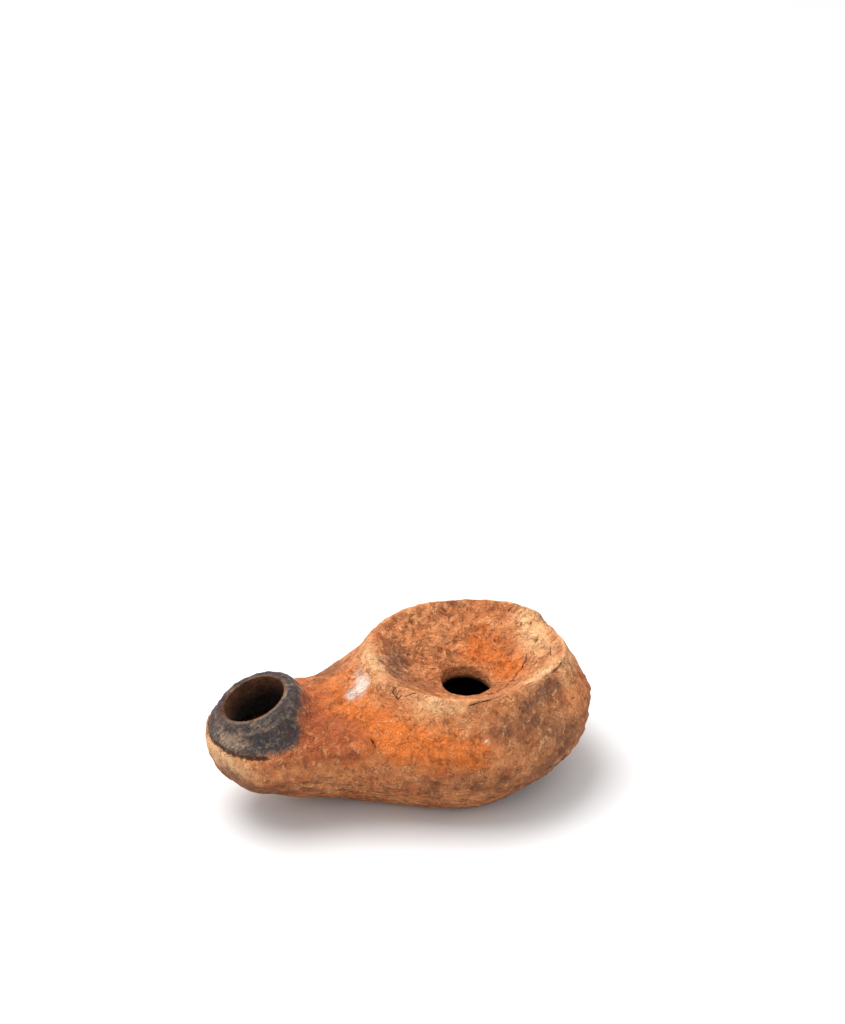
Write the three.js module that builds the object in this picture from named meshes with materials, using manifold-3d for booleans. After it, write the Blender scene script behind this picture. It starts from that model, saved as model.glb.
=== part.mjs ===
// A mould-made Roman oil lamp of fired clay, hollow and empty, as a three.js scene graph.
// Millimetres, +Z up. The origin is on the flat foot, under the axis of the filling hole, and the
// nozzle points along -X. The whole lamp is one piece of clay, so it is one mesh.
import * as THREE from "three";
import { mergeVertices } from "three/addons/utils/BufferGeometryUtils.js";
import Module from "manifold-3d";

const wasm = await Module();
wasm.setup();

// Body, round about the filling hole
const BODY_RADIUS = 31.5; // at the mould seam
const SEAM_HEIGHT = 22.5; // the two halves of the mould met in this level
const RIM_HEIGHT = 35.2; // crest of the dish's rim
const RIM_RADIUS = 25.2;
const FOOT_RADIUS = 16.5; // where the belly meets the table
const SHOULDER_POWER = 1.25; // 1 is a straight cone, 2 is an ellipse
const BELLY_POWER = 2.4;

// Dish around the filling hole
const DISH_DEPTH = 11.6;
const DISH_POWER = 1.8; // 1 is a funnel, 2 is a bowl
const DISH_WALL = 4.2; // clay under the dish, measured straight down
const FILL_LENGTH = 12.6; // the hole is a little oval
const FILL_WIDTH = 15.3;

// Nozzle
const NOZZLE_LENGTH = 68.6; // from the filling hole's axis to the tip
const TIP_HALF_WIDTH = 15.2;
const ROOT_HALF_WIDTH = 23.5;
const TIP_ROUNDING = 13.5; // length of the round end
const TIP_TOP = 27.5;
const ROOT_TOP = 28.4;
const TIP_KEEL = 4.6; // the underside lifts off the table towards the tip
const ROOT_KEEL = -2.4;
const KEEL_POWER = 2.5;
const NOZZLE_TOP_POWER = 1.8;
const NOZZLE_KEEL_POWER = 1.8;
const ROOT_OVERLAP = 8; // how far behind the filling hole's axis the nozzle form starts to close
const ROOT_ROUNDING = 16;

// Collar around the wick hole, tilted towards the tip
const COLLAR_REACH = 56.7; // from the filling hole's axis to the centre of the collar's top
const COLLAR_HEIGHT = 32.5;
const COLLAR_TILT = 21; // degrees
const COLLAR_RADIUS = 10.8;
const COLLAR_EDGE = 2.9; // rounding of its top
const COLLAR_FLARE = 0.3; // how much wider it gets for each millimetre down
const COLLAR_LEAN = 0.13; // how much it shifts towards the tip for each millimetre down
const COLLAR_FLARE_DEPTH = 8; // straight below that
const COLLAR_DEPTH = 14;
const WICK_RADIUS = 8;

// Two worn flats of the rim, at the back and at the right: slanting planes shave the crest and shoulder
const BACK_FLAT = {
  direction: 7, // degrees from +X towards +Y
  slant: 23, // degrees up from level
  depth: 0.6, // taken off the crest
  rounding: 2,
};
const RIGHT_FLAT = { direction: -57, slant: 30, depth: 2, rounding: 1 };

// Clay, and how softly the forms run into each other
const WALL = 3.8;
const NOZZLE_BLEND = 13;
const COLLAR_BLEND = 4.5;
const FIELD_SCALE = 0.8; // brings the forms' fields near to a distance in millimetres

// How finely the surfaces are divided
const SKIN_AROUND = 44;
const SKIN_ALONG = 56;
const CAVITY_AROUND = 28;
const CAVITY_ALONG = 34;
const ROUND_SIDES = 48;
const DISH_RINGS = 7;
const TIP_SHARE = 0.28; // of the rows, round the nozzle's tip
const BACK_SHARE = 0.24;
const BISECTIONS = 40;

const CUT_MARGIN = 3; // how far a cutting solid stands past what it cuts
const DISH_CUTTER_REACH = 1.3; // times the rim's radius
const CLAY = new THREE.MeshStandardMaterial({ color: 0xc9793f, roughness: 0.92, metalness: 0 });

// Field arithmetic: negative inside, smooth joins of radius k
const clamp01 = (value) => Math.min(1, Math.max(0, value));
const lerp = (from, to, share) => from + (to - from) * share;
const both = (a, b, k) => {
  const h = clamp01(0.5 + (0.5 * (a - b)) / k);
  return lerp(b, a, h) + k * h * (1 - h);
};
const either = (a, b, k) => -both(-a, -b, k);

// Half height of a superellipse of revolution that passes through the ring (radius, rise)
const halfHeight = (radius, rise, power) => rise / (1 - (radius / BODY_RADIUS) ** power) ** (1 / power);
const SHOULDER_HEIGHT = halfHeight(RIM_RADIUS, RIM_HEIGHT - SEAM_HEIGHT, SHOULDER_POWER);
const BELLY_HEIGHT = halfHeight(FOOT_RADIUS, SEAM_HEIGHT, BELLY_POWER);

// The forms below take an inset for the hollow inside: it is narrower by the inset, its widest level
// is as much lower, and its floor as much higher.

// Round body: plan radius and height from the seam, joined by the power of that half
function bodyField(x, y, z, inset) {
  const radius = BODY_RADIUS - inset;
  const level = SEAM_HEIGHT - inset;
  const above = z > level;
  const power = above ? SHOULDER_POWER : BELLY_POWER;
  const height = above ? SHOULDER_HEIGHT : BELLY_HEIGHT - 2 * inset;
  const plan = Math.hypot(x, y) / radius;
  const rise = Math.abs(z - level) / height;
  return ((plan ** power + rise ** power) ** (1 / power) - 1) * radius * FIELD_SCALE;
}

// A worn flat: a plane square to a direction that leans up, its depth inside the dish's crest
function flatField(flat, x, y, z) {
  const azimuth = THREE.MathUtils.degToRad(flat.direction);
  const rise = THREE.MathUtils.degToRad(flat.slant);
  const out = x * Math.cos(azimuth) + y * Math.sin(azimuth) - (RIM_RADIUS - flat.depth);
  return out * Math.cos(rise) + (z - RIM_HEIGHT) * Math.sin(rise);
}

// Nozzle: a long round-ended form whose top, keel and width change evenly from tip to root
function nozzleField(x, y, z, inset) {
  const capCentre = TIP_ROUNDING - NOZZLE_LENGTH;
  const share = clamp01(1 - x / capCentre);
  const top = lerp(TIP_TOP, ROOT_TOP, share);
  const keel = lerp(ROOT_KEEL, TIP_KEEL, (1 - share) ** KEEL_POWER);
  const halfWidth = lerp(TIP_HALF_WIDTH, ROOT_HALF_WIDTH, share) - inset;
  const level = SEAM_HEIGHT - inset;
  const above = z > level;
  const height = above ? top - SEAM_HEIGHT : level - (keel + inset);
  const power = above ? NOZZLE_TOP_POWER : NOZZLE_KEEL_POWER;
  const tipEnd = Math.max(capCentre - x, 0) / (TIP_ROUNDING - inset);
  const rootEnd = Math.max(x + ROOT_OVERLAP, 0) / ROOT_ROUNDING;
  const end = tipEnd + rootEnd;
  const plan = Math.hypot(y / halfWidth, end);
  const rise = Math.abs(z - level) / height;
  return ((plan ** power + rise ** power) ** (1 / power) - 1) * halfWidth * FIELD_SCALE;
}

// The wick hole's axis: a point at the collar's top, and the direction out of the hole
const TILT = THREE.MathUtils.degToRad(COLLAR_TILT);
const WICK_TOP = new THREE.Vector3(-COLLAR_REACH, 0, COLLAR_HEIGHT);
const WICK_AXIS = new THREE.Vector3(-Math.sin(TILT), 0, Math.cos(TILT));

// Collar: a tilted round boss that widens downwards and leans towards the tip
const TIPWARD = new THREE.Vector3(-Math.cos(TILT), 0, -Math.sin(TILT));
function collarField(x, y, z) {
  const offset = new THREE.Vector3(x, y, z).sub(WICK_TOP);
  const depth = offset.dot(WICK_AXIS);
  const lowered = Math.min(Math.max(-depth, 0), COLLAR_FLARE_DEPTH);
  offset.addScaledVector(WICK_AXIS, -depth).addScaledVector(TIPWARD, -COLLAR_LEAN * lowered);
  const side = offset.length() - COLLAR_RADIUS - COLLAR_FLARE * lowered;
  return both(both(side, depth, COLLAR_EDGE), -depth - COLLAR_DEPTH, COLLAR_EDGE);
}

function bodyAndNozzle(x, y, z, inset) {
  const whole = either(bodyField(x, y, z, inset), nozzleField(x, y, z, inset), NOZZLE_BLEND);
  return [BACK_FLAT, RIGHT_FLAT].reduce(
    (field, flat) => both(field, flatField(flat, x, y, z) + inset, flat.rounding),
    whole,
  );
}
const outside = (x, y, z) => either(bodyAndNozzle(x, y, z, 0), collarField(x, y, z), COLLAR_BLEND);
const inside = (x, y, z) => bodyAndNozzle(x, y, z, WALL);

// Closed surface of a field: rays leave a straight level spine, square to it along its length and in
// a fan about each end, and each stops where the field changes sign.
function skin(field, level, around, along) {
  const spineStart = -COLLAR_REACH + COLLAR_RADIUS / 2;
  const spineEnd = 0;
  const reach = 2 * NOZZLE_LENGTH;
  const pointOn = (place, turn) => {
    const tipFan = Math.min(place / TIP_SHARE - 1, 0);
    const backFan = Math.max(1 - (1 - place) / BACK_SHARE, 0);
    const x = lerp(spineStart, spineEnd, clamp01((place - TIP_SHARE) / (1 - TIP_SHARE - BACK_SHARE)));
    const lean = ((tipFan + backFan) * Math.PI) / 2;
    const way = [Math.sin(lean), Math.cos(lean) * Math.cos(turn), Math.cos(lean) * Math.sin(turn)];
    let near = 0;
    let far = reach;
    for (let i = 0; i < BISECTIONS; i++) {
      const middle = (near + far) / 2;
      const isInside = field(x + way[0] * middle, way[1] * middle, level + way[2] * middle) < 0;
      if (isInside) near = middle;
      else far = middle;
    }
    return [x + way[0] * near, way[1] * near, level + way[2] * near];
  };
  const points = [];
  for (let j = 1; j < along; j++)
    for (let i = 0; i < around; i++) points.push(...pointOn(j / along, (i / around) * 2 * Math.PI));
  points.push(...pointOn(0, 0), ...pointOn(1, 0));
  const faces = [];
  const tip = (along - 1) * around;
  const back = tip + 1;
  const at = (row, i) => row * around + (i % around);
  for (let i = 0; i < around; i++) {
    faces.push(tip, at(0, i), at(0, i + 1));
    faces.push(back, at(along - 2, i + 1), at(along - 2, i));
    for (let row = 0; row < along - 2; row++)
      faces.push(
        at(row, i), at(row + 1, i), at(row + 1, i + 1),
        at(row, i), at(row + 1, i + 1), at(row, i + 1),
      );
  }
  return solidOf(new Float32Array(points), new Uint32Array(faces));
}

// A solid from vertices and triangles, turned the right way out
function solidOf(vertProperties, triVerts) {
  const made = new wasm.Manifold(new wasm.Mesh({ numProp: 3, vertProperties, triVerts }));
  if (made.volume() > 0) return made;
  for (let i = 0; i < triVerts.length; i += 3)
    [triVerts[i], triVerts[i + 1]] = [triVerts[i + 1], triVerts[i]];
  return new wasm.Manifold(new wasm.Mesh({ numProp: 3, vertProperties, triVerts }));
}

// A solid from a closed three.js geometry
function solidFrom(geometry) {
  geometry.deleteAttribute("normal");
  geometry.deleteAttribute("uv");
  const merged = mergeVertices(geometry, 1e-4);
  return solidOf(merged.attributes.position.array, new Uint32Array(merged.index.array));
}

// A solid turned about +Z from [radius, height] points that start and end on the axis
function lathe(profile) {
  const points = profile.map(([radius, height]) => new THREE.Vector2(radius, height));
  return solidFrom(new THREE.LatheGeometry(points, ROUND_SIDES).rotateX(Math.PI / 2));
}

// Everything above the dish's surface, lowered by drop, out to the crest or a little past it
function dishCutter(drop) {
  const outer = RIM_RADIUS * DISH_CUTTER_REACH;
  const profile = [];
  for (let i = 0; i <= DISH_RINGS; i++) {
    const radius = (outer * i) / DISH_RINGS;
    const share = (radius / RIM_RADIUS) ** DISH_POWER;
    profile.push([radius, RIM_HEIGHT - drop + DISH_DEPTH * (share - 1)]);
  }
  const roof = SEAM_HEIGHT + SHOULDER_HEIGHT + NOZZLE_BLEND; // over the uncut body's own top
  return lathe([...profile, [outer, roof], [0, roof]]);
}

// Straight round or oval cutter between two distances along an axis
function boreCutter(lengthAlongX, widthAlongY, from, to) {
  const bore = new THREE.CylinderGeometry(0.5, 0.5, to - from, ROUND_SIDES / 2);
  bore.rotateX(Math.PI / 2).translate(0, 0, (from + to) / 2);
  return bore.scale(lengthAlongX, widthAlongY, 1);
}

// Everything below a level
function floorCutter(level) {
  const size = 2 * (NOZZLE_LENGTH + BODY_RADIUS);
  return solidFrom(new THREE.BoxGeometry(size, size, size).translate(0, 0, level - size / 2));
}

const shell = skin(outside, SEAM_HEIGHT, SKIN_AROUND, SKIN_ALONG)
  .subtract(floorCutter(0))
  .subtract(dishCutter(0));
const cavity = skin(inside, SEAM_HEIGHT - WALL, CAVITY_AROUND, CAVITY_ALONG)
  .subtract(floorCutter(WALL))
  .subtract(dishCutter(DISH_WALL));
const ceiling = RIM_HEIGHT - DISH_DEPTH - DISH_WALL;
const fillHole = boreCutter(FILL_LENGTH, FILL_WIDTH, ceiling - CUT_MARGIN, RIM_HEIGHT);
const wickHole = boreCutter(2 * WICK_RADIUS, 2 * WICK_RADIUS, -COLLAR_DEPTH - CUT_MARGIN, CUT_MARGIN)
  .rotateY(-TILT)
  .translate(...WICK_TOP);
const clay = shell.subtract(cavity).subtract(solidFrom(fillHole)).subtract(solidFrom(wickHole));

const { vertProperties, triVerts } = clay.getMesh();
const geometry = new THREE.BufferGeometry()
  .setAttribute("position", new THREE.BufferAttribute(vertProperties, 3))
  .setIndex(new THREE.BufferAttribute(triVerts, 1));
geometry.computeVertexNormals();
const lamp = new THREE.Mesh(geometry, CLAY);
lamp.name = "lamp";

const part = new THREE.Group();
part.add(lamp);
export default part;
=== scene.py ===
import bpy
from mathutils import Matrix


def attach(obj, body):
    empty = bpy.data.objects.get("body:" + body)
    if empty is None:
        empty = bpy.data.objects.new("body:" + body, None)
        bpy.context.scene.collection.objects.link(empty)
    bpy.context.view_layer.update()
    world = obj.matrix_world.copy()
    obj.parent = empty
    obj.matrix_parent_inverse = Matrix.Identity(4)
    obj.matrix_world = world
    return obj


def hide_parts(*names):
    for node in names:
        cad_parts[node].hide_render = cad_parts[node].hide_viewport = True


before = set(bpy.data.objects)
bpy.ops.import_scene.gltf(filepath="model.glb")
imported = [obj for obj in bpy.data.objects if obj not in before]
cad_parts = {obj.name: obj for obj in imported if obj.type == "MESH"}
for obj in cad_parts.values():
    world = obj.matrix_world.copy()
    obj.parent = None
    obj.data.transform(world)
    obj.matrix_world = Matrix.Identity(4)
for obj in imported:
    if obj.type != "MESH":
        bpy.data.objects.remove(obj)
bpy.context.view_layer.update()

"""Visual model of a mould-made Roman oil lamp of fired clay.

The whole lamp is one piece of clay and one closed grid: its rows run from the wick hole's mouth over
the outside to the dish's crest, down the dish, through the filling hole, along the hollow inside and
up the wick hole again. Lengths are millimetres until a mesh is made, and Blender's metres after that.
"""
import logging
import math
from dataclasses import dataclass
from enum import Enum
from typing import Callable, Sequence

import bpy
import numpy as np
from mathutils import Matrix, Vector

LOG = logging.getLogger("oil_lamp")
METRES = 0.001  # Blender's units in a millimetre

Array = np.ndarray
Field = Callable[[Array], Array]
Point = tuple[float, float, float]
Band = tuple[float, float]  # where a smooth step starts, and where it is full
Socket = bpy.types.NodeSocket
Tree = bpy.types.NodeTree
Node = bpy.types.Node

Colour = tuple[int, int, int]  # red, green and blue in 0 to 255 steps

HALVINGS = 24


def both(a: Array, b: Array, softness: float) -> Array:
    """Smooth intersection of two fields: the larger one, raised near where they are equal.

    Args:
        a: First field's values, negative inside.
        b: Second field's values.
        softness: Width of the band in which they run into each other, in the fields' millimetres.

    Returns:
        The values of the field that is inside both.
    """
    share = np.clip(0.5 + 0.5 * (a - b) / softness, 0.0, 1.0)
    return b + (a - b) * share + softness * share * (1.0 - share)


def either(a: Array, b: Array, softness: float) -> Array:
    """Smooth union of two fields, which is the intersection of their outsides turned inside out."""
    return -both(-a, -b, softness)


def smooth_step(low: float, high: float, value: Array) -> Array:
    """S-shaped ramp that is 0 up to low and 1 from high on."""
    share = np.clip((value - low) / (high - low), 0.0, 1.0)
    return share * share * (3.0 - 2.0 * share)


def turns(around: int) -> Array:
    """Angles of a row's points in radians, spread evenly over a full turn."""
    return np.arange(around) * 2.0 * math.pi / around


def halved(within: Field, near: Array, far: Array) -> Array:
    """Where a condition ends between two ends of a stretch, found by halving the stretch.

    Args:
        within: Says for each place whether it still holds there.
        near: Places where it holds.
        far: Places where it doesn't.

    Returns:
        The last places found where it holds.
    """
    for _ in range(HALVINGS):
        middle = (near + far) / 2.0
        holds = within(middle)
        near, far = np.where(holds, middle, near), np.where(holds, far, middle)
    return near


def bell(distance: Array, width: float) -> Array:
    """Bell curve: 1 at no distance, falling to 1/e at the width."""
    return np.exp(-((distance / width) ** 2))


class Pattern(Enum):
    """Seeds of the noises, so that each one is a pattern of its own."""

    LUMPS = 1
    RIDGES = 2
    FINE = 3
    GROOVE = 5
    SEAM_PATH = 6
    SEAM_RISE = 7
    CHIPS = 8
    WARP_X = 21
    WARP_Y = 22
    WARP_Z = 23


WARPS = (Pattern.WARP_X, Pattern.WARP_Y, Pattern.WARP_Z)


class Noise:
    """Repeatable smooth noise over space, from a table of random numbers."""

    TABLE_SIZE = 1 << 16
    PRIMES = (73856093, 19349663, 83492791)
    LAYER_SHIFT = 17.3  # moves each layer's lattice off the one before

    def __init__(self, pattern: Pattern) -> None:
        """Fill the table with the pattern's numbers."""
        self.table = np.random.default_rng(pattern.value).uniform(-1.0, 1.0, self.TABLE_SIZE)

    def single(self, points: Array) -> Array:
        """Random values at whole-number lattice points, joined by S-shaped ramps on each axis."""
        corner = np.floor(points).astype(np.int64)
        part = points - corner
        part = part * part * (3.0 - 2.0 * part)
        total = np.zeros(points.shape[:-1])
        for dx in (0, 1):
            for dy in (0, 1):
                for dz in (0, 1):
                    weight = np.abs(1 - dx - part[..., 0]) * np.abs(1 - dy - part[..., 1])
                    weight = weight * np.abs(1 - dz - part[..., 2])
                    key = (
                        (corner[..., 0] + dx) * self.PRIMES[0]
                        ^ (corner[..., 1] + dy) * self.PRIMES[1]
                        ^ (corner[..., 2] + dz) * self.PRIMES[2]
                    )
                    total += weight * self.table[key & (self.TABLE_SIZE - 1)]
        return total

    def layered(self, points: Array, size: float, layers: int = 3) -> Array:
        """Sum of layers of noise, each half as large and half as strong as the one before.

        Args:
            points: Places in millimetres, shape (..., 3).
            size: Spacing of the coarsest layer's lattice in millimetres.
            layers: How many layers.

        Returns:
            Values that mostly lie between -1 and 1.
        """
        total = np.zeros(points.shape[:-1])
        strength, scale = 1.0, 1.0 / size
        for layer in range(layers):
            total += strength * self.single(points * scale + self.LAYER_SHIFT * layer)
            strength, scale = strength * 0.5, scale * 2.0
        return total / (2.0 - 0.5 ** (layers - 1))


@dataclass(frozen=True)
class ClayForm:
    """The lamp's main form as fields in space, negative inside the clay, in millimetres."""

    body_radius: float = 31.5
    seam_height: float = 22.5
    rim_height: float = 35.2
    rim_radius: float = 25.2
    foot_radius: float = 16.5
    shoulder_power: float = 1.25
    belly_power: float = 2.4
    dish_depth: float = 11.6
    dish_power: float = 1.8
    dish_wall: float = 4.2
    fill_length: float = 12.6
    fill_width: float = 15.3
    nozzle_length: float = 68.6
    tip_half_width: float = 15.2
    root_half_width: float = 23.5
    tip_rounding: float = 13.5
    tip_top: float = 27.5
    root_top: float = 28.4
    tip_keel: float = 4.6
    root_keel: float = -2.4
    keel_power: float = 2.5
    nozzle_top_power: float = 1.8
    nozzle_keel_power: float = 1.8
    root_overlap: float = 8.0
    root_rounding: float = 16.0
    collar_reach: float = 56.7
    collar_height: float = 32.5
    collar_tilt: float = 21.0
    collar_radius: float = 10.8
    collar_edge: float = 2.9
    collar_flare: float = 0.3
    collar_flare_depth: float = 8.0
    collar_lean: float = 0.13
    collar_depth: float = 14.0
    wick_radius: float = 8.0
    worn_direction: float = 7.0
    worn_slant: float = 23.0
    worn_depth: float = 0.6
    worn_rounding: float = 2.0
    facet_direction: float = -57.0
    facet_slant: float = 30.0
    facet_depth: float = 2.0
    facet_rounding: float = 1.0
    wall: float = 3.8
    nozzle_blend: float = 13.0
    collar_blend: float = 4.5
    field_scale: float = 0.8
    foot_edge: float = 0.8
    crest_edge: float = 1.3

    def half_height(self, radius: float, rise: float, power: float) -> float:
        """Half height of a superellipse of revolution that passes through the ring (radius, rise)."""
        return rise / (1.0 - (radius / self.body_radius) ** power) ** (1.0 / power)

    def body(self, points: Array, inset: float) -> Array:
        """Round body: plan radius and height from the seam, joined by the power of that half.

        Args:
            points: Places, shape (..., 3).
            inset: How far inside the clay's skin the form lies.

        Returns:
            The field at those places.
        """
        radius, level = self.body_radius - inset, self.seam_height - inset
        rise = points[..., 2] - level
        rim_rise = self.rim_height - self.seam_height
        shoulder = self.half_height(self.rim_radius, rim_rise, self.shoulder_power)
        belly = self.half_height(self.foot_radius, self.seam_height, self.belly_power) - 2.0 * inset
        plan = np.hypot(points[..., 0], points[..., 1]) / radius
        above = (plan**self.shoulder_power + (np.abs(rise) / shoulder) ** self.shoulder_power) ** (
            1.0 / self.shoulder_power
        )
        below = (plan**self.belly_power + (np.abs(rise) / belly) ** self.belly_power) ** (
            1.0 / self.belly_power
        )
        return (np.where(rise > 0.0, above, below) - 1.0) * radius * self.field_scale

    def shaving_plane(self, points: Array, direction: float, lean: float, depth: float) -> Array:
        """Slanting plane that shaves the rim: distance along a direction that leans up.

        Args:
            points: Places, shape (..., 3).
            direction: Its direction in plan, in degrees from +X towards +Y.
            lean: How far it leans up, in degrees.
            depth: What it takes off the crest.

        Returns:
            The plane's field at those places.
        """
        azimuth, slant = math.radians(direction), math.radians(lean)
        out = points[..., 0] * math.cos(azimuth) + points[..., 1] * math.sin(azimuth)
        out = out - (self.rim_radius - depth)
        return out * math.cos(slant) + (points[..., 2] - self.rim_height) * math.sin(slant)

    def nozzle(self, points: Array, inset: float) -> Array:
        """Long round-ended form whose top, keel and width change evenly from its tip to its root.

        Args:
            points: Places, shape (..., 3).
            inset: How far inside the clay's skin the form lies.

        Returns:
            The field at those places.
        """
        x, y, z = points[..., 0], points[..., 1], points[..., 2]
        cap_centre = self.tip_rounding - self.nozzle_length
        share = np.clip(1.0 - x / cap_centre, 0.0, 1.0)
        top = self.tip_top + (self.root_top - self.tip_top) * share
        keel = self.root_keel + (self.tip_keel - self.root_keel) * (1.0 - share) ** self.keel_power
        half_width = self.tip_half_width + (self.root_half_width - self.tip_half_width) * share - inset
        level = self.seam_height - inset
        rise = z - level
        tip_end = np.maximum(cap_centre - x, 0.0) / (self.tip_rounding - inset)
        root_end = np.maximum(x + self.root_overlap, 0.0) / self.root_rounding
        plan = np.hypot(y / half_width, tip_end + root_end)
        p, q = self.nozzle_top_power, self.nozzle_keel_power
        above = (plan**p + (np.abs(rise) / (top - self.seam_height)) ** p) ** (1.0 / p)
        below = (plan**q + (np.abs(rise) / (level - keel - inset)) ** q) ** (1.0 / q)
        return (np.where(rise > 0.0, above, below) - 1.0) * half_width * self.field_scale

    @property
    def wick_top(self) -> Array:
        """Centre of the collar's top."""
        return np.array([-self.collar_reach, 0.0, self.collar_height])

    @property
    def wick_axis(self) -> Array:
        """Direction out of the wick hole."""
        tilt = math.radians(self.collar_tilt)
        return np.array([-math.sin(tilt), 0.0, math.cos(tilt)])

    def collar(self, points: Array) -> Array:
        """Tilted round boss: distance from a leaning axis less a radius that widens downwards."""
        offset = points - self.wick_top
        depth = offset @ self.wick_axis
        lowered = np.clip(-depth, 0.0, self.collar_flare_depth)
        tipward = np.array([-self.wick_axis[2], 0.0, self.wick_axis[0]])
        spoke = offset - depth[..., None] * self.wick_axis
        radius = np.linalg.norm(spoke - (self.collar_lean * lowered)[..., None] * tipward, axis=-1)
        widened = self.collar_flare * lowered
        side = both(radius - self.collar_radius - widened, depth, self.collar_edge)
        return both(side, -depth - self.collar_depth, self.collar_edge)

    def body_and_nozzle(self, points: Array, inset: float) -> Array:
        """Body and nozzle run together, less the two worn flats of the rim."""
        whole = either(self.body(points, inset), self.nozzle(points, inset), self.nozzle_blend)
        worn = self.shaving_plane(points, self.worn_direction, self.worn_slant, self.worn_depth)
        facet = self.shaving_plane(points, self.facet_direction, self.facet_slant, self.facet_depth)
        whole = both(whole, worn + inset, self.worn_rounding)
        return both(whole, facet + inset, self.facet_rounding)

    def outside(self, points: Array) -> Array:
        """The closed outer form with its flat foot, without the dish and the holes."""
        raised = either(self.body_and_nozzle(points, 0.0), self.collar(points), self.collar_blend)
        return both(raised, -points[..., 2], self.foot_edge)

    def dish_height(self, radius: Array) -> Array:
        """Height of the dish's surface: the crest's height less the depth, by a power of the radius."""
        return self.rim_height + self.dish_depth * ((radius / self.rim_radius) ** self.dish_power - 1.0)

    def dished(self, points: Array) -> Array:
        """The outer form with everything above the dish's surface taken off and a rounded crest."""
        radius = np.hypot(points[..., 0], points[..., 1])
        slope = self.dish_depth * self.dish_power / self.rim_radius
        above = (points[..., 2] - self.dish_height(radius)) / math.hypot(1.0, 0.7 * slope)
        return both(self.outside(points), above, self.crest_edge)

    def crest_share(self, points: Array) -> Array:
        """1 on the rim's crest, where the dish meets the outside, and 0 about 1 mm away."""
        outer = np.abs(self.outside(points))
        bowl = np.abs(self.dish_height(np.hypot(points[:, 0], points[:, 1])) - points[:, 2])
        return smooth_step(1.0, 0.3, np.maximum(outer, bowl))

    def inside(self, points: Array) -> Array:
        """The hollow's form, a wall's thickness inside the outer form, without the dish."""
        return both(self.body_and_nozzle(points, self.wall), self.wall - points[..., 2], self.foot_edge)


def slopes(form: Field, points: Array, step: float = 0.02) -> tuple[Array, Array]:
    """A field and its gradient, from four samples at the corners of a small tetrahedron.

    Args:
        form: The field.
        points: Places, shape (..., 3).
        step: Distance to the samples.

    Returns:
        The field's values and its gradients.
    """
    corners = np.array([[1, -1, -1], [-1, -1, 1], [-1, 1, -1], [1, 1, 1]], dtype=float)
    samples = [form(points + step * corner) for corner in corners]
    gradient = sum(s[..., None] * corner for s, corner in zip(samples, corners)) / (4.0 * step)
    return sum(samples) / 4.0, gradient


def settled(form: Field, points: Array, rounds: int = 4) -> Array:
    """Points brought onto a field's skin by Newton steps along its gradient.

    Args:
        form: The field.
        points: Places near the skin.
        rounds: How many steps.

    Returns:
        The places on the skin.
    """
    for _ in range(rounds):
        value, gradient = slopes(form, points)
        size = np.maximum((gradient**2).sum(-1), 0.05)
        points = points - np.clip(value / size, -1.0, 1.0)[..., None] * gradient
    return points


@dataclass(frozen=True)
class Cut:
    """One section through the form in the plane that holds two profile points and the Y direction."""

    near: tuple[float, float]  # (x, z) on the side between the collar and the dish
    far: tuple[float, float]  # (x, z) on the tip's, foot's or back's side


class RowFan:
    """Rows of points on a field's skin, in planes that turn from one end of the lamp to the other."""

    WIDENING = 1.2  # how much further than half a cut's length a ray may go
    MARGIN = 7.0

    def __init__(self, form: Field, around: int) -> None:
        """Remember the field.

        Args:
            form: Field whose skin the rows lie on.
            around: Points in a row.
        """
        self.form = form
        self.cosine, self.sine = np.cos(turns(around)), np.sin(turns(around))

    def cast(self, centre: Array, along: Array, lean: Array, reach: Array) -> Array:
        """Points where rays from each row's centre leave the form, found by halving.

        A ray's direction is the cosine of its turn along the row's direction plus the sine along Y,
        leaned out of the row's plane.

        Args:
            centre: Rows' centres, shape (rows, 3).
            along: Rows' directions in the XZ plane, shape (rows, 3).
            lean: Angles out of the rows' planes in radians, shape (rows,).
            reach: How far a row's rays may go, shape (rows,).

        Returns:
            Points of shape (rows, around, 3).
        """
        normal = np.stack([along[:, 2], np.zeros(len(along)), -along[:, 0]], -1)
        level = along[:, None] * self.cosine[None, :, None]
        level = level + np.array([0.0, 1.0, 0.0]) * self.sine[None, :, None]
        way = level * np.cos(lean)[:, None, None] + (normal * np.sin(lean)[:, None])[:, None]
        start = centre[:, None]
        far = np.tile(reach[:, None], (1, way.shape[1]))
        length = halved(lambda out: self.form(start + way * out[..., None]) < 0.0, np.zeros_like(far), far)
        return start + way * length[..., None]

    def through(self, cuts: Sequence[Cut], rows: int) -> Array:
        """Rows spread over a chain of cuts by the length that both ends of the cuts travel.

        Args:
            cuts: Sections in order.
            rows: How many rows, the first and last cut included.

        Returns:
            Points of shape (rows, around, 3).
        """
        near = np.array([cut.near for cut in cuts])
        far = np.array([cut.far for cut in cuts])
        travel = np.linalg.norm(np.diff(near, axis=0), axis=1) + np.linalg.norm(
            np.diff(far, axis=0), axis=1
        )
        marks = np.concatenate([[0.0], np.cumsum(travel)])
        place = np.linspace(0.0, marks[-1], rows)
        near = np.stack([np.interp(place, marks, near[:, i]) for i in (0, 1)], -1)
        far = np.stack([np.interp(place, marks, far[:, i]) for i in (0, 1)], -1)
        middle, way = (near + far) / 2.0, far - near
        length = np.linalg.norm(way, axis=1)
        way = way / length[:, None]
        flat = np.zeros(rows)
        centre = np.stack([middle[:, 0], flat, middle[:, 1]], -1)
        along = np.stack([way[:, 0], flat, way[:, 1]], -1)
        return self.cast(centre, along, flat, self.WIDENING * length / 2.0 + self.MARGIN)


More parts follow.
